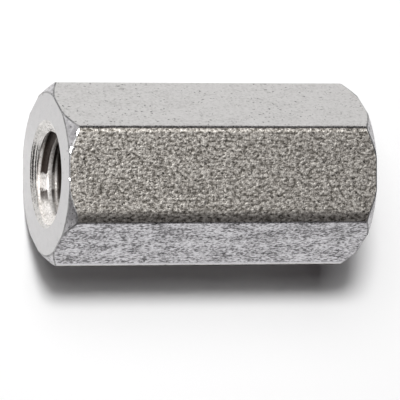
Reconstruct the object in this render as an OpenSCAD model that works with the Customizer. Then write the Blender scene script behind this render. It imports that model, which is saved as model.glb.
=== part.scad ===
// Coupling nut: one length of hexagonal bar, drilled and tapped right through.
// It lies on one of its flats, as it comes to rest on a bench. Its axis is along X, +Z is up,
// and the origin is at the middle of the underside. The thread itself isn't cut here:
// the bore is the true cylinder that its crests leave.

/* [Bar] */
// Width across the flats, which is the spanner size
across_flats = 12.7; // [10:0.1:24]
// Length over the two end faces
nut_length = 25.4; // [12:0.1:60]
// Radius of the long edges of the bar, apart from the rolled one
edge_radius = 0.7; // [0.2:0.05:1.4]
// Radius of the one long edge that has rolled over, beside the top flat
rolled_edge_radius = 1.9; // [1:0.1:3]
// How sharply the rolled edge ends, in a crease along the flat below it
rolled_edge_crease = 26; // [10:1:40]

/* [Turned ends] */
// How far the turned chamfer comes in from the corners, at the end face
chamfer_reach = 0.77; // [0.2:0.01:1.2]
// Slope of the chamfer, measured from the axis
chamfer_angle = 45; // [30:1:75]

/* [Bore] */
// Outside diameter of the thread that the bore is tapped with
thread_diameter = 7.94; // [5:0.01:10]
// Depth of the thread, from its crest to its root
thread_depth = 0.72; // [0.3:0.01:1]
// How far the countersink's mouth stands out past the thread, all round
countersink_margin = 0.3; // [0:0.05:0.5]
// Full angle of the countersink
countersink_angle = 120; // [82:1:130]

/* [Hidden] */

$fn = 96;
steel = [0.66, 0.65, 0.63];
bar_sides = 6;
// What a cut runs past the faces that it goes through
overrun = 1;
// What each rounded edge stands proud before the flats trim it, so that they cross and don't just touch
trim = 0.001;

// Angle from the middle of a flat to the corner beside it
half_turn = 180 / bar_sides;
flat_height = across_flats / 2;
half_length = nut_length / 2;
sharp_corner = flat_height / cos(half_turn);
edge_centre = (flat_height - edge_radius) / cos(half_turn);
rounded_corner = edge_centre + edge_radius;
// Where each rounded edge begins and ends, measured out towards its corner
corner_cut = edge_centre + edge_radius * cos(half_turn);

// The corner that has rolled over, counted round the section from its own X axis
rolled_corner = 3;
// How far the rolled edge turns, from the top flat to its crease
rolled_turn = 2 * half_turn - rolled_edge_crease;
// How far short of the sharp corner it leaves the top flat
rolled_reach = rolled_edge_radius * (cos(rolled_edge_crease) - cos(2 * half_turn)) / sin(2 * half_turn);
rolled_chord = 2 * rolled_edge_radius * sin(rolled_turn / 2);

face_radius = rounded_corner - chamfer_reach;
chamfer_depth = chamfer_reach / tan(chamfer_angle);

bore_radius = thread_diameter / 2 - thread_depth;
mouth_radius = thread_diameter / 2 + countersink_margin;
countersink_slope = tan(countersink_angle / 2);
countersink_depth = (mouth_radius - bore_radius) / countersink_slope;

// Turns a shape built along Z so that it runs along X, with a flat underneath at z = 0
module lay_along_x() {
    translate([0, 0, flat_height])
        rotate([0, 90, 0])
            rotate(half_turn)
                children();
}

// Puts a shape at a corner of the section, with X out of the flat before it and Y along that flat
module beside_flat(corner) {
    rotate(2 * half_turn * corner)
        translate([sharp_corner, 0])
            rotate(-half_turn)
                children();
}

// Hexagon with its corners cut off straight, and the rolled one cut off at a slant
module cut_corners() {
    difference() {
        rotate(half_turn)
            circle(r = corner_cut / cos(half_turn), $fn = bar_sides);
        beside_flat(rolled_corner)
            translate([0, -rolled_reach])
                rotate(rolled_turn / 2)
                    translate([0, -overrun])
                        square([2 * overrun, rolled_chord + 2 * overrun]);
    }
}

// The round noses that the cut corners are given
module edge_noses() {
    for (corner = [0 : bar_sides - 1])
        if (corner != rolled_corner)
            rotate(2 * half_turn * corner)
                translate([edge_centre, 0])
                    circle(r = edge_radius + trim);
    beside_flat(rolled_corner)
        translate([-rolled_edge_radius, -rolled_reach])
            circle(r = rolled_edge_radius + trim);
}

// Section of the bar: the cut corners with their noses, trimmed to a sharp hexagon's flats
module bar_section() {
    intersection() {
        circle(r = sharp_corner, $fn = bar_sides);
        union() {
            cut_corners();
            edge_noses();
        }
    }
}

// What the lathe leaves: a blank wider than the bar, coned down to the face ring at both ends
module turned_blank() {
    blank_radius = sharp_corner + overrun;
    cone_depth = chamfer_depth * (blank_radius - face_radius) / chamfer_reach;
    rotate_extrude()
        polygon([
            [0, -half_length],
            [face_radius, -half_length],
            [blank_radius, cone_depth - half_length],
            [blank_radius, half_length - cone_depth],
            [face_radius, half_length],
            [0, half_length]
        ]);
}

// The drilled hole, with a cone opening it out at both mouths
module countersunk_bore() {
    cylinder(r = bore_radius, h = nut_length + 2 * overrun, center = true);
    for (end = [0, 1])
        mirror([0, 0, end])
            translate([0, 0, half_length - countersink_depth])
                cylinder(
                    r1 = bore_radius,
                    r2 = mouth_radius + overrun * countersink_slope,
                    h = countersink_depth + overrun
                );
}

module coupling_nut() {
    color(steel)
        lay_along_x()
            difference() {
                intersection() {
                    linear_extrude(nut_length, center = true)
                        bar_section();
                    turned_blank();
                }
                countersunk_bore();
            }
}

coupling_nut();
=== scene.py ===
"""A steel coupling nut lying on one of its flats: hexagonal bar, tapped right through."""

import math

import bmesh
import bpy
from mathutils import Matrix, Vector


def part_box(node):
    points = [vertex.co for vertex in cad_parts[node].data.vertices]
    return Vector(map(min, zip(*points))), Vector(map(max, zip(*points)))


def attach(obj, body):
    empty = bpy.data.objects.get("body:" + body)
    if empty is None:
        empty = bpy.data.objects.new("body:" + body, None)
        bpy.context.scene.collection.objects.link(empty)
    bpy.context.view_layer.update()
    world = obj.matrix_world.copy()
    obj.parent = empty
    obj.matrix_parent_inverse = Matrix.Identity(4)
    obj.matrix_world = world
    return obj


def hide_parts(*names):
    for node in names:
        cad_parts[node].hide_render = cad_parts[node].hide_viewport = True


MM = 0.001

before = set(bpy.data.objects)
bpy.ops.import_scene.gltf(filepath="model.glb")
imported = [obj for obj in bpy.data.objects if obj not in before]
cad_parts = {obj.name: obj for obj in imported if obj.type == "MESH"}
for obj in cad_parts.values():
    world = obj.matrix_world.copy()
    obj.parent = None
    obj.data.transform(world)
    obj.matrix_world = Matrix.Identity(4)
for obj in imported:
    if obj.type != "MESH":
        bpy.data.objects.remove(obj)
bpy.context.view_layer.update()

# ---------------------------------------------------------------- sizes
low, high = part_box("coupling_nut")
LENGTH = high.x - low.x
FLATS = high.z - low.z
HALF_LENGTH = LENGTH / 2
FLAT_HEIGHT = FLATS / 2
AXIS_HEIGHT = (low.z + high.z) / 2
SIDES = 6
SIDE_DEGREES = 360 / SIDES
# The turn from one flat to the next, and from the middle of a flat to the corner beside it
SIDE_TURN = math.radians(SIDE_DEGREES)
CORNER_TURN = SIDE_TURN / 2
# Which way each flat faces, going round the bar's section, and the one that ends up on top
FLAT_TURNS = [math.radians(SIDE_DEGREES * side) for side in range(SIDES)]
TOP_FLAT = FLAT_TURNS[3]
SHARP_CORNER = FLAT_HEIGHT / math.cos(CORNER_TURN)

# What the nut's box doesn't give: its long edges, its turned ends and its bore
EDGE_RADIUS = 0.70 * MM
ROLLED_EDGE_RADIUS = 1.90 * MM
ROLLED_EDGE_CREASE = math.radians(26)
FACE_RADIUS = 6.454 * MM
CHAMFER_ANGLE = math.radians(45)
BORE_RADIUS = 3.25 * MM
THREAD_RADIUS = 3.97 * MM
MOUTH_RADIUS = 4.27 * MM
COUNTERSINK_DEPTH = 0.589 * MM
# How much of the countersink each of its tool marks takes, from the mouth inwards
COUNTERSINK_MARKS = [0.14, 0.30, 0.20, 0.12, 0.24]
# The share of each mark that is its steep wall, and how far that wall closes in for each step inwards
MARK_WALL = 0.78
MARK_WALL_SLOPE = 0.9
PITCH = 25.4 / 18 * MM
# Where one turn of the groove crosses the bottom of the bore, from the nut's middle towards +X
THREAD_START = 0.62 * MM
THREAD_FLANK = math.radians(30)
THREAD_CREST_ROUNDING = 0.25 * MM
THREAD_ROOT_ROUNDING = 0.12 * MM
THREAD_RUN_OUT = 0.09 * MM
COUNTERSINK_ROUNDING = 0.10 * MM
EDGE_BREAK = 0.08 * MM
# Edges that turn by more than this are broken
KEEN_TURN = math.radians(20)
# The knocks on the top flat's left edge: how far each is towards +Y, how long and how deep
KNOCKS = [
    (3.25 * MM, 0.60 * MM, 0.035 * MM),
    (1.90 * MM, 0.55 * MM, 0.055 * MM),
    (-0.45 * MM, 0.36 * MM, 0.030 * MM),
]
# Which way the knocks face: up, leaning to the left and a little to +Y
KNOCK_FACING = Vector((-0.30, 0.20, 1)).normalized()
# What a cut runs past the faces that it goes through, and what the tap's tooth reaches inside the bore
OVERRUN = 1.0 * MM
TOOTH_OVERRUN = 0.35 * MM

# How many flat steps make up each round: the bore, the turned blank, and the bar's long edges
ROUND_STEPS = 72
BLANK_STEPS = 192
EDGE_STEPS = 12
ROLLED_EDGE_STEPS = 16
# And the rounding where a countersink runs into the bore
COUNTERSINK_ROUNDING_STEPS = 4

# How near two points are when they are made one: on a turned tool, on the blank, and on the finished nut
TOOL_MERGE = 0.0005 * MM
BLANK_MERGE = 0.001 * MM
NUT_MERGE = 0.0006 * MM

# ---------------------------------------------------------------- camera


def place_camera():
    """A long lens, high above the nut and leaning towards its left end."""
    lean = math.radians(18.634)
    swing = math.radians(0.587)
    back = Vector((-math.sin(lean) * math.cos(swing), math.sin(swing), math.cos(lean) * math.cos(swing)))
    right = Vector((math.cos(lean), 0, math.sin(lean)))
    up = back.cross(right)
    right = up.cross(back)
    across, above, away = 0.087, -2.076, 394.265
    eye = Vector((0, 0, AXIS_HEIGHT)) + (across * right + above * up + away * back) * MM
    data = bpy.data.cameras.new("camera")
    data.sensor_width = 36
    data.lens = 447.2
    data.clip_start = 0.01
    data.clip_end = 20
    camera = bpy.data.objects.new("camera", data)
    camera.matrix_world = Matrix((
        (right.x, up.x, back.x, eye.x),
        (right.y, up.y, back.y, eye.y),
        (right.z, up.z, back.z, eye.z),
        (0, 0, 0, 1),
    ))
    bpy.context.collection.objects.link(camera)
    bpy.context.scene.camera = camera


place_camera()

# ---------------------------------------------------------------- the nut's shape


def lay_along_x(bm):
    """Turns a shape built along Z so that it runs along X at the height of the nut's axis."""
    turn = Matrix.Rotation(math.radians(90), 4, "Y")
    bmesh.ops.transform(bm, matrix=Matrix.Translation((0, 0, AXIS_HEIGHT)) @ turn, verts=bm.verts)


def finished(bm, name):
    bmesh.ops.recalc_face_normals(bm, faces=bm.faces)
    mesh = bpy.data.meshes.new(name)
    bm.to_mesh(mesh)
    bm.free()
    thing = bpy.data.objects.new(name, mesh)
    bpy.context.collection.objects.link(thing)
    return thing


def arc(bm, centre, radius, first, turn, steps):
    """An arc about a point of the section, from the direction first. Returns its two end points."""
    start = bm.verts.new(centre + radius * Vector((math.cos(first), math.sin(first), 0)))
    swept = bmesh.ops.spin(bm, geom=[start], cent=centre, axis=(0, 0, 1), angle=turn, steps=steps)
    last = [v for v in swept["geom_last"] if isinstance(v, bmesh.types.BMVert)]
    return start, last[0]


def plain_edge(bm, flat):
    """The rounded edge that follows a flat, given as the direction that the flat faces."""
    corner = flat + CORNER_TURN
    out = (FLAT_HEIGHT - EDGE_RADIUS) / math.cos(CORNER_TURN)
    centre = out * Vector((math.cos(corner), math.sin(corner), 0))
    return arc(bm, centre, EDGE_RADIUS, flat, SIDE_TURN, EDGE_STEPS)


def rolled_edge(bm, flat):
    """The edge that has rolled over: it leaves its flat slowly, and ends in a crease."""
    reach = ROLLED_EDGE_RADIUS * (math.cos(ROLLED_EDGE_CREASE) - math.cos(SIDE_TURN))
    along = SHARP_CORNER / 2 - reach / math.sin(SIDE_TURN)
    facing = Vector((math.cos(flat), math.sin(flat), 0))
    beside = Vector((-math.sin(flat), math.cos(flat), 0))
    centre = (FLAT_HEIGHT - ROLLED_EDGE_RADIUS) * facing + along * beside
    return arc(bm, centre, ROLLED_EDGE_RADIUS, flat, SIDE_TURN - ROLLED_EDGE_CREASE, ROLLED_EDGE_STEPS)


def drawn_bar():
    """Hexagonal bar as it was drawn. In its own section the top flat faces -X."""
    bm = bmesh.new()
    edges = [rolled_edge(bm, flat) if flat == TOP_FLAT else plain_edge(bm, flat) for flat in FLAT_TURNS]
    for (_, last), (start, _) in zip(edges, edges[1:] + edges[:1]):
        bm.edges.new((last, start))
    bmesh.ops.contextual_create(bm, geom=bm.verts[:] + bm.edges[:])
    bmesh.ops.translate(bm, vec=(0, 0, -HALF_LENGTH), verts=bm.verts)
    grown = bmesh.ops.extrude_face_region(bm, geom=bm.faces[:])
    rising = [v for v in grown["geom"] if isinstance(v, bmesh.types.BMVert)]
    bmesh.ops.translate(bm, vec=(0, 0, LENGTH), verts=rising)
    lay_along_x(bm)
    return finished(bm, "coupling_nut_body")


def turned(name, outline, steps):
    """A solid of revolution from its outline, listed as radius and height from one end to the other."""
    bm = bmesh.new()
    points = [bm.verts.new((r, 0, z)) for r, z in outline]
    line = [bm.edges.new(pair) for pair in zip(points, points[1:])]
    bmesh.ops.spin(bm, geom=points + line, cent=(0, 0, 0), axis=(0, 0, 1), angle=math.radians(360),
                   steps=steps, use_merge=True)
    bmesh.ops.remove_doubles(bm, verts=bm.verts, dist=TOOL_MERGE)
    lay_along_x(bm)
    return finished(bm, name)


def turned_blank():
    """What the lathe leaves: a round blank, coned down to the end face at both ends."""
    wide = SHARP_CORNER + OVERRUN
    cone = (wide - FACE_RADIUS) / math.tan(CHAMFER_ANGLE)
    end = HALF_LENGTH
    return turned("turned_blank", [(0, -end), (FACE_RADIUS, -end), (wide, cone - end),
                                   (wide, end - cone), (FACE_RADIUS, end), (0, end)], BLANK_STEPS)


def drill():
    """The hole and its two countersinks, each with the marks that the tool left in it."""
    out = HALF_LENGTH + OVERRUN
    slope = (MOUTH_RADIUS - BORE_RADIUS) / COUNTERSINK_DEPTH
    outline = [(0, -out), (MOUTH_RADIUS + OVERRUN, -out), (MOUTH_RADIUS, -HALF_LENGTH)]
    turn = math.atan(slope)
    run_in = COUNTERSINK_ROUNDING * math.tan(turn / 2)
    marked = COUNTERSINK_DEPTH - run_in * math.cos(turn)
    r, z = outline[-1]
    for share in COUNTERSINK_MARKS:
        rise = share * marked
        wall = rise * MARK_WALL
        outline += [(r - wall * MARK_WALL_SLOPE, z + wall), (r - rise * slope, z + rise)]
        r, z = outline[-1]
    for step in range(1, COUNTERSINK_ROUNDING_STEPS + 1):
        left = turn * (1 - step / COUNTERSINK_ROUNDING_STEPS)
        outline.append((BORE_RADIUS + COUNTERSINK_ROUNDING * (1 - math.cos(left)),
                        COUNTERSINK_DEPTH + run_in - COUNTERSINK_ROUNDING * math.sin(left) - HALF_LENGTH))
    outline += [(r, -z) for r, z in reversed(outline)]
    return turned("drill", outline, ROUND_STEPS)


def groove_side():
    """Half of the thread groove's section, from the middle of its root out to the crest beside it.
    Each point is its radius and its distance along the bore."""
    rounding = THREAD_ROOT_ROUNDING + THREAD_CREST_ROUNDING
    flank = (THREAD_RADIUS - BORE_RADIUS - rounding / 2) * math.tan(THREAD_FLANK)
    crest = flank + rounding * math.cos(THREAD_FLANK)
    side = []
    for turn in (0, 12, 24, 36, 48, 60):
        turn = math.radians(turn)
        side.append((THREAD_RADIUS - THREAD_ROOT_ROUNDING * (1 - math.cos(turn)),
                     THREAD_ROOT_ROUNDING * math.sin(turn)))
    for turn in (60, 48, 36, 25, 14):
        turn = math.radians(turn)
        side.append((BORE_RADIUS + THREAD_CREST_ROUNDING * (1 - math.cos(turn)),
                     crest - THREAD_CREST_ROUNDING * math.sin(turn)))
    # The groove runs on at the slope that the rounding ends with, so that it crosses the bore's wall
    r, z = side[-1]
    side.append((r - THREAD_RUN_OUT * math.tan(turn), z + THREAD_RUN_OUT))
    return side


def tap():
    """One tooth of the thread's groove, wound along the whole bore as a right-hand helix."""
    side = groove_side()
    inner = BORE_RADIUS - TOOTH_OVERRUN
    outline = [(inner, side[-1][1])] + side[::-1] + [(r, -z) for r, z in side[1:]] + [(inner, -side[-1][1])]
    half_turns = round(HALF_LENGTH / PITCH) + 2
    start = THREAD_START - half_turns * PITCH
    turns = 2 * half_turns
    bm = bmesh.new()
    tooth = bm.faces.new([bm.verts.new((r, 0, start + z)) for r, z in outline])
    bmesh.ops.spin(bm, geom=[tooth], cent=(0, 0, 0), axis=(0, 0, 1), angle=math.radians(360 * turns),
                   dvec=(0, 0, PITCH / ROUND_STEPS), steps=ROUND_STEPS * turns)
    lay_along_x(bm)
    return finished(bm, "tap")


def left_edge(across):
    """The point where the top flat meets the left chamfer, at this distance towards +Y."""
    reach = math.hypot(across, FLAT_HEIGHT)
    inset = max(reach - FACE_RADIUS, 0) / math.tan(CHAMFER_ANGLE)
    return Vector((inset - HALF_LENGTH, across, high.z))


def knock(name, across, length, depth):
    """A knock on the top flat's left edge: a small flat cut that leans to the left."""
    bm = bmesh.new()
    bmesh.ops.create_cube(bm, size=1)
    bmesh.ops.scale(bm, vec=(2 * OVERRUN, length, OVERRUN), verts=bm.verts)
    bmesh.ops.translate(bm, vec=(0, 0, OVERRUN / 2 - depth), verts=bm.verts)
    lean = Vector((0, 0, 1)).rotation_difference(KNOCK_FACING).to_matrix().to_4x4()
    bmesh.ops.transform(bm, matrix=Matrix.Translation(left_edge(across)) @ lean, verts=bm.verts)
    return finished(bm, name)


def cut(body, tool, operation):
    modifier = body.modifiers.new(tool.name, "BOOLEAN")
    modifier.operation = operation
    modifier.solver = "MANIFOLD"
    modifier.object = tool


def settle(body):
    """Makes the body's cuts in its mesh, in place of its modifiers."""
    bpy.context.view_layer.update()
    shaped = bpy.data.meshes.new_from_object(body.evaluated_get(bpy.context.evaluated_depsgraph_get()))
    body.modifiers.clear()
    body.data = shaped


def break_edges(body):
    """Takes the sharpness off the keen edges: those that turning leaves, and the rolled edge's crease."""
    bm = bmesh.new()
    bm.from_mesh(body.data)
    bmesh.ops.remove_doubles(bm, verts=bm.verts, dist=BLANK_MERGE)
    keen = [e for e in bm.edges if e.is_manifold and e.calc_face_angle() > KEEN_TURN]
    bmesh.ops.bevel(bm, geom=keen, offset=EDGE_BREAK, offset_type="OFFSET", segments=3,
                    profile=0.5, affect="EDGES", material=-1)
    bm.to_mesh(body.data)
    bm.free()


def held_in(vertex):
    """Moves a vertex back if the broken edges have pushed it out past an end face or a flat."""
    vertex.co.x = min(max(vertex.co.x, -HALF_LENGTH), HALF_LENGTH)
    for turn in FLAT_TURNS:
        facing = Vector((0, math.sin(turn), math.cos(turn)))
        over = facing.dot(vertex.co - Vector((0, 0, AXIS_HEIGHT))) - FLAT_HEIGHT
        vertex.co -= max(over, 0) * facing


def clean(body):
    """Holds the nut in to its faces, and drops the slivers that the cuts leave."""
    bm = bmesh.new()
    bm.from_mesh(body.data)
    for vertex in bm.verts:
        held_in(vertex)
    bmesh.ops.remove_doubles(bm, verts=bm.verts, dist=NUT_MERGE)
    bmesh.ops.dissolve_degenerate(bm, edges=bm.edges, dist=NUT_MERGE)
    bm.to_mesh(body.data)
    bm.free()


def machine(body, *cuts):
    """Makes the cuts one after another, then puts the tools away."""
    for tool, operation in cuts:
        cut(body, tool, operation)
    settle(body)
    for tool, operation in cuts:
        bpy.data.objects.remove(tool)


body = drawn_bar()
machine(body, (turned_blank(), "INTERSECT"))
break_edges(body)
for number, (across, length, depth) in enumerate(KNOCKS, start=1):
    machine(body, (knock(f"knock_{number}", across, length, depth), "DIFFERENCE"))
machine(body, (drill(), "DIFFERENCE"), (tap(), "DIFFERENCE"))
clean(body)

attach(body, "root")
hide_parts("coupling_nut")

# ---------------------------------------------------------------- materials


def matt(name, colour):
    material = bpy.data.materials.new(name)
    material.use_nodes = True
    shader = material.node_tree.nodes["Principled BSDF"]
    shader.inputs["Base Color"].default_value = (*colour, 1)
    shader.inputs["Metallic"].default_value = 0
    shader.inputs["Roughness"].default_value = 1
    return material


def node(tree, kind, **settings):
    made = tree.nodes.new(kind)
    for name, value in settings.items():
        setattr(made, name, value)
    return made


def grain(tree, coordinates, scale, detail=2.0):
    """Noise, often stretched along the bar. The scale is its grains to a metre along each axis."""
    stretch = node(tree, "ShaderNodeMapping")
    stretch.inputs["Scale"].default_value = scale
    tree.links.new(coordinates, stretch.inputs["Vector"])
    noise = node(tree, "ShaderNodeTexNoise")
    noise.inputs["Scale"].default_value = 1
    noise.inputs["Detail"].default_value = detail
    noise.inputs["Roughness"].default_value = 0.6
    tree.links.new(stretch.outputs["Vector"], noise.inputs["Vector"])
    return noise.outputs["Fac"]


def ramp(tree, value, stops):
    """Colours along a value from 0 to 1."""
    made = node(tree, "ShaderNodeValToRGB")
    elements = made.color_ramp.elements
    while len(elements) < len(stops):
        elements.new(0.5)
    for element, (position, colour) in zip(elements, stops):
        element.position = position
        element.color = (*colour, 1)
    tree.links.new(value, made.inputs["Fac"])
    return made.outputs["Color"]


def grey(level):
    return (level, level, level)


def blend(tree, kind, first, second):
    """Two colours combined in full, as a product or as the lighter of the two."""
    mix = node(tree, "ShaderNodeMix", data_type="RGBA", blend_type=kind)
    mix.inputs[0].default_value = 1
    tree.links.new(first, mix.inputs[6])
    tree.links.new(second, mix.inputs[7])
    return mix.outputs[2]


def mixed(tree, share, first, second):
    """The first colour where the share is 0, and the second where it is 1. Each is a socket or a colour."""
    mix = node(tree, "ShaderNodeMix", data_type="RGBA")
    tree.links.new(share, mix.inputs[0])
    for slot, value in ((6, first), (7, second)):
        if isinstance(value, tuple):
            mix.inputs[slot].default_value = (*value, 1)
        else:
            tree.links.new(value, mix.inputs[slot])
    return mix.outputs[2]


def sum_of(tree, first, second, share):
    """The first value, with a share of the second added."""
    add = node(tree, "ShaderNodeMath", operation="MULTIPLY_ADD")
    tree.links.new(second, add.inputs[0])
    add.inputs[1].default_value = share
    tree.links.new(first, add.inputs[2])
    return add.outputs[0]


def relief(tree, height, depth, under=None):
    bump = node(tree, "ShaderNodeBump")
    bump.inputs["Strength"].default_value = 1
    bump.inputs["Distance"].default_value = depth
    tree.links.new(height, bump.inputs["Height"])
    if under:
        tree.links.new(under, bump.inputs["Normal"])
    return bump.outputs["Normal"]


def distance(tree, place, axes):
    """How far each point is from the middle of the nut, along the axes given: X, Y and Z, each 0 or 1."""
    shift = node(tree, "ShaderNodeMapping")
    shift.inputs["Location"].default_value = (0, 0, -AXIS_HEIGHT * axes[2])
    shift.inputs["Scale"].default_value = axes
    tree.links.new(place, shift.inputs["Vector"])
    length = node(tree, "ShaderNodeVectorMath", operation="LENGTH")
    tree.links.new(shift.outputs["Vector"], length.inputs[0])
    return length.outputs["Value"]


def between(tree, value, first, last):
    """0 where the value is at first or short of it, and 1 where it is at last or past it."""
    spread = node(tree, "ShaderNodeMapRange")
    tree.links.new(value, spread.inputs["Value"])
    spread.inputs["From Min"].default_value = first
    spread.inputs["From Max"].default_value = last
    return spread.outputs["Result"]


# The blotches on steel, in patches to a metre along each axis
BLOTCH_GRAIN = (500, 1000, 1000)
# How softly a pit's edge fades
PIT_FADE = 0.03


def steel_skin(name, colours, grain_scale, roughness, depth, blotches=0.0, pits=None, metallic=1.0,
               fine_scale=(9000,) * 3, tone=None):
    """Steel with its grain in colour, roughness and relief.

    The blotches are wide, soft patches that shift the grain. The pits are dark specks, given as how many
    of them there are to a metre, and how wide they are. The tone finishes the colour."""
    material = bpy.data.materials.new(name)
    material.use_nodes = True
    tree = material.node_tree
    shader = tree.nodes["Principled BSDF"]
    shader.inputs["Metallic"].default_value = metallic
    place = node(tree, "ShaderNodeTexCoord").outputs["Object"]
    coarse = grain(tree, place, grain_scale)
    patches = grain(tree, place, BLOTCH_GRAIN, detail=1.0)
    shifted = sum_of(tree, coarse, patches, blotches)
    middle = 0.5 * (1 + blotches)
    colour = ramp(tree, shifted, [(middle + at, tint) for at, tint in colours])
    if pits:
        specks = grain(tree, place, pits[0], detail=1.0)
        dark = ramp(tree, specks, [(pits[1] - PIT_FADE, grey(0.25)), (pits[1] + PIT_FADE, grey(1))])
        colour = blend(tree, "MULTIPLY", colour, dark)
    if tone:
        colour = tone(tree, place, colour)
    tree.links.new(colour, shader.inputs["Base Color"])
    fine = grain(tree, place, fine_scale, detail=1.0)
    dull = ramp(tree, fine, [(0.35, grey(roughness[0])), (0.65, grey(roughness[1]))])
    tree.links.new(dull, shader.inputs["Roughness"])
    normal = relief(tree, coarse, depth * MM)
    tree.links.new(relief(tree, fine, depth * MM / 2, normal), shader.inputs["Normal"])
    return material


def drawn_steel():
    """The grained skin that the bar was drawn with."""
    colours = [(-0.14, (0.19, 0.175, 0.15)), (0.0, (0.56, 0.525, 0.48)), (0.14, (0.90, 0.865, 0.80))]
    return steel_skin("drawn_steel", colours, (3200, 4500, 4500), (0.34, 0.49), 0.022, blotches=0.10,
                      pits=((3500, 4800, 4800), 0.34))


def bright_steel():
    """The side flats that are smooth and bright, with a few pits."""
    colours = [(-0.18, (0.49, 0.48, 0.47)), (-0.03, (0.59, 0.58, 0.57)), (0.2, (0.64, 0.63, 0.62))]
    return steel_skin("bright_steel", colours, (4200, 5200, 5200), (0.30, 0.40), 0.002, blotches=0.3,
                      pits=((4000, 5000, 5000), 0.30))


# How far above or below the nut's axis the flats stay lighter beside their outermost corners, as a painted
# reflection, and where that ends
CORNER_REFLECTION_REACH = (0.42 * MM, 0.62 * MM)


def painted_corner_reflection(tree, place, colour):
    """Leaves the flat lighter beside the corner that stands furthest out: a painted reflection of the
    bright floor near it.
    """
    off_corner = between(tree, distance(tree, place, (0, 0, 1)), *CORNER_REFLECTION_REACH)
    # Painted reflection: lighter beside the corner
    return mixed(tree, off_corner, (0.64, 0.63, 0.65), colour)


def scuffed_and_shaded_steel():
    """The side flats that are scuffed along the bar, in a darker, purplish tone that is painted shade."""
    # The scuffs are the grain; the darker, purplish colours are painted shade
    colours = [(-0.12, (0.15, 0.145, 0.15)), (-0.02, (0.46, 0.45, 0.465)), (0.13, (0.70, 0.69, 0.71))]
    return steel_skin("scuffed_and_shaded_steel", colours, (3500, 5000, 5000), (0.32, 0.45), 0.008, blotches=0.35,
                      pits=((2600, 5500, 5500), 0.36), tone=painted_corner_reflection)


def burnished_steel():
    """The half of each rounded edge, but for the rolled one, that is rubbed smoother than the flats."""
    colours = [(-0.15, (0.42, 0.41, 0.40)), (0.15, (0.66, 0.65, 0.64))]
    return steel_skin("burnished_steel", colours, (2000, 4000, 4000), (0.20, 0.30), 0.006, blotches=0.3,
                      pits=((3000, 5000, 5000), 0.34))


def faced_steel():
    """The end faces, smooth from the lathe."""
    colours = [(-0.25, (0.51, 0.505, 0.505)), (0.25, (0.56, 0.55, 0.55))]
    return steel_skin("faced_steel", colours, (1500,) * 3, (0.30, 0.40), 0.001, pits=((2500,) * 3, 0.24))


def chamfered_steel():
    """The turned chamfers on the corners."""
    colours = [(-0.15, (0.42, 0.41, 0.42)), (0.15, (0.66, 0.65, 0.66))]
    return steel_skin("chamfered_steel", colours, (3500,) * 3, (0.34, 0.46), 0.010, blotches=0.4,
                      pits=((4000,) * 3, 0.33))


def worn_and_shaded_edge_steel():
    """The broken edges, dulled unevenly by handling. Their dark colour is painted shade."""
    # Dark colours: painted shade along the broken edges
    colours = [(-0.05, (0.24, 0.24, 0.24)), (0.05, (0.40, 0.395, 0.395))]
    return steel_skin("worn_and_shaded_edge_steel", colours, (1700,) * 3, (0.50, 0.65), 0.05, fine_scale=(4000,) * 3)


def knocked_steel():
    """The knocks, which are bare and bright."""
    colours = [(-0.15, (0.70, 0.69, 0.68)), (0.15, (0.85, 0.84, 0.83))]
    return steel_skin("knocked_steel", colours, (3000,) * 3, (0.20, 0.30), 0.005)


def countersunk_steel():
    """The countersinks, smooth from the tool."""
    colours = [(-0.15, (0.44, 0.43, 0.41)), (0.15, (0.68, 0.66, 0.64))]
    return steel_skin("countersunk_steel", colours, (4000,) * 3, (0.18, 0.30), 0.010, blotches=0.4,
                      pits=((4000,) * 3, 0.30))


# The thread's dark colour: on its flanks, and as painted shade deep inside the bore
DARK_AND_SHADED_THREAD = (0.055, 0.040, 0.033)
# Within this distance of the middle of the nut the whole thread is darkened, as painted shade deep in the
# bore, and that ends over the fade
SHADE_REACH = 10.50 * MM
SHADE_FADE = 0.15 * MM
# How much the flanks are darkened nearer the ends, as places and amounts. Where that is low, the bright -Y
# side is painted light and the bright band nearer the middle is a painted highlight. Place 0 is at the
# first of the two distances towards +Y, and place 1 at the second. The borders are ragged by a share of the
# way between
PAINTED_LIGHT_SIDES = (-2.6 * MM, 1.0 * MM)
PAINTED_LIGHT_RAGGEDNESS = 0.2
PAINTED_LIGHT_BANDS = [(0.08, 0.05), (0.20, 0.8), (0.36, 0.97), (0.40, 0), (0.71, 0), (0.76, 1)]


def painted_thread_light_and_shade(tree, place, colour):
    """Darkens the thread: all over it deep inside, as painted shade, and near the ends only on its flanks.
    The -Y side is left bright as painted light, and a band nearer the middle as a painted highlight."""
    # The flanks are darker than the crests and roots
    depth = between(tree, distance(tree, place, (0, 1, 1)), BORE_RADIUS, THREAD_RADIUS)
    flank_dark = ramp(tree, depth, [(0.006, grey(0)), (0.04, grey(1)), (0.80, grey(1)), (0.97, grey(0))])
    sides = node(tree, "ShaderNodeSeparateXYZ")
    tree.links.new(place, sides.inputs["Vector"])
    # Painted light across Y: the -Y side and a band stay bright, the band as a painted highlight
    side = between(tree, sides.outputs["Y"], *PAINTED_LIGHT_SIDES)
    ragged = sum_of(tree, side, grain(tree, place, (2800,) * 3, detail=1.0), PAINTED_LIGHT_RAGGEDNESS)
    painted_bands = ramp(tree, ragged, [(at + PAINTED_LIGHT_RAGGEDNESS / 2, grey(level)) for at, level in PAINTED_LIGHT_BANDS])
    # Painted shade: deep inside the bore the whole thread is dark
    inside = between(tree, distance(tree, place, (1, 0, 0)), SHADE_REACH + SHADE_FADE, SHADE_REACH)
    # The darkening: the flanks' dark with the painted light taken off, and the painted shade deep inside
    left = blend(tree, "LIGHTEN", blend(tree, "MULTIPLY", flank_dark, painted_bands), inside)
    return mixed(tree, left, colour, DARK_AND_SHADED_THREAD)


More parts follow.
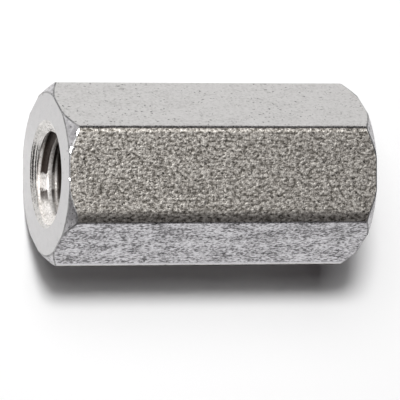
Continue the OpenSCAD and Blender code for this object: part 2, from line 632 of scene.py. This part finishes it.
def tapped_steel():
    """The thread, bright but for its darker flanks and painted shade. Its bright band is a painted
    highlight.
    """
    colours = [(-0.15, (0.62, 0.59, 0.56)), (0.0, (0.86, 0.83, 0.80)), (0.2, (0.96, 0.93, 0.91))]
    return steel_skin("tapped_steel", colours, (4000,) * 3, (0.26, 0.46), 0.020, blotches=0.5,
                      # The tone darkens the flanks and paints shade deep inside and a highlight band
                      metallic=0.4, tone=painted_thread_light_and_shade)


FINISHES = [drawn_steel, bright_steel, scuffed_and_shaded_steel, burnished_steel, faced_steel, chamfered_steel,
            worn_and_shaded_edge_steel, knocked_steel, countersunk_steel, tapped_steel]
# The finish of each flat, going round from the top one towards +Y
# The scuffed flats carry painted shade in their darker tone
FLAT_FINISHES = [drawn_steel, bright_steel, scuffed_and_shaded_steel, drawn_steel, bright_steel, scuffed_and_shaded_steel]
# How far a face may be from the countersink's cone, and still belong to it
CONE_MARGIN = 0.06 * MM
# How far in from an end face the countersink's faces start
MOUTH_MARGIN = 0.001 * MM
# How nearly a face has to face the way a knock does, as a cosine
KNOCK_MATCH = 0.9995
# The least tilt along the bar, from 0 to 1, that makes a face part of an end face or of a broken edge, and
# how far from a chamfer's tilt a chamfer's face may be
END_TILT = 0.99
BROKEN_EDGE_TILT = 0.05
CHAMFER_MARGIN = 0.02
# How far a face of a rounded edge has turned from its flat, in degrees, before it has the edge's finish
EDGE_MARGIN = 2
# Edges that turn by more than this are shaded as sharp
SHARP_TURN = math.radians(28)


def finish_of(face):
    """Which finish a face of the nut was left with, by where it is and which way it faces."""
    out = math.hypot(face.center.y, face.center.z - AXIS_HEIGHT)
    inset = HALF_LENGTH - abs(face.center.x)
    tilt = abs(face.normal.x)
    if out < MOUTH_RADIUS and inset > MOUTH_MARGIN:
        cone = MOUTH_RADIUS - inset * (MOUTH_RADIUS - BORE_RADIUS) / COUNTERSINK_DEPTH
        return countersunk_steel if abs(out - cone) < CONE_MARGIN else tapped_steel
    if face.normal.dot(KNOCK_FACING) > KNOCK_MATCH:
        return knocked_steel
    if tilt > END_TILT:
        return faced_steel
    if abs(tilt - math.sin(CHAMFER_ANGLE)) < CHAMFER_MARGIN:
        return chamfered_steel
    # The broken edges, which take the dark, painted shade finish
    if tilt > BROKEN_EDGE_TILT:
        return worn_and_shaded_edge_steel
    around = math.degrees(math.atan2(face.normal.y, face.normal.z)) % 360
    flat = round(around / SIDE_DEGREES)
    if around < SIDE_DEGREES * flat - EDGE_MARGIN and flat < SIDES:
        return burnished_steel
    return FLAT_FINISHES[flat % SIDES]


def mark_borders(body, finishes):
    """Marks as sharp the borders of these finishes, so that each face is shaded evenly right up to them."""
    bm = bmesh.new()
    bm.from_mesh(body.data)
    for edge in bm.edges:
        meeting = {face.material_index for face in edge.link_faces}
        if len(meeting) > 1 and meeting & finishes:
            edge.smooth = False
    bm.to_mesh(body.data)
    bm.free()


body.data.materials.clear()
for finish in FINISHES:
    body.data.materials.append(finish())
for face in body.data.polygons:
    face.material_index = FINISHES.index(finish_of(face))
body.data.shade_smooth()
body.data.set_sharp_from_angle(angle=SHARP_TURN)
mark_borders(body, {FINISHES.index(faced_steel), FINISHES.index(worn_and_shaded_edge_steel)})
evened = body.modifiers.new("evened_shading", "WEIGHTED_NORMAL")
evened.keep_sharp = True
evened.weight = 100

# ---------------------------------------------------------------- floor and light

FLOOR_RADIUS = 0.2


def lay_floor():
    bm = bmesh.new()
    bmesh.ops.create_circle(bm, cap_ends=True, segments=128, radius=FLOOR_RADIUS)
    mesh = bpy.data.meshes.new("floor")
    bm.to_mesh(mesh)
    bm.free()
    floor = bpy.data.objects.new("floor", mesh)
    bpy.context.collection.objects.link(floor)
    floor.data.materials.append(matt("white_floor", (0.93, 0.93, 0.93)))


def lamp(name, towards, away, size, power):
    """A round lamp that shines at the nut from the direction given."""
    data = bpy.data.lights.new(name, "AREA")
    data.shape = "DISK"
    data.size = size
    data.energy = power
    thing = bpy.data.objects.new(name, data)
    direction = Vector(towards).normalized()
    thing.location = direction * away
    thing.rotation_mode = "QUATERNION"
    thing.rotation_quaternion = direction.to_track_quat("Z", "Y")
    bpy.context.collection.objects.link(thing)


# The room as the camera sees it, straight or mirrored, and the dimmer light that it gives what is matt
ROOM_SEEN = (0.066, 0.062, 0.065)
ROOM_LIGHT = (0.012, 0.008, 0.011)


def either(tree, first, second):
    made = node(tree, "ShaderNodeMath", operation="MAXIMUM")
    tree.links.new(first, made.inputs[0])
    tree.links.new(second, made.inputs[1])
    return made.outputs["Value"]


def darken_room():
    world = bpy.data.worlds.new("studio")
    bpy.context.scene.world = world
    world.use_nodes = True
    tree = world.node_tree
    rays = node(tree, "ShaderNodeLightPath")
    straight = either(tree, rays.outputs["Is Camera Ray"], rays.outputs["Is Glossy Ray"])
    seen = either(tree, straight, rays.outputs["Is Transmission Ray"])
    room = mixed(tree, seen, ROOM_LIGHT, ROOM_SEEN)
    tree.links.new(room, tree.nodes["Background"].inputs["Color"])


lay_floor()
lamp("key_lamp", (-0.27, 0.435, 1), 1.2, 0.25, 10.6)
lamp("key_spill", (-0.27, 0.50, 1), 1.2, 0.80, 7.0)
lamp("left_card", (-1, 0.7, 0.3), 0.8, 0.7, 0.8)
darken_room()

bpy.context.scene.view_settings.view_transform = "Standard"
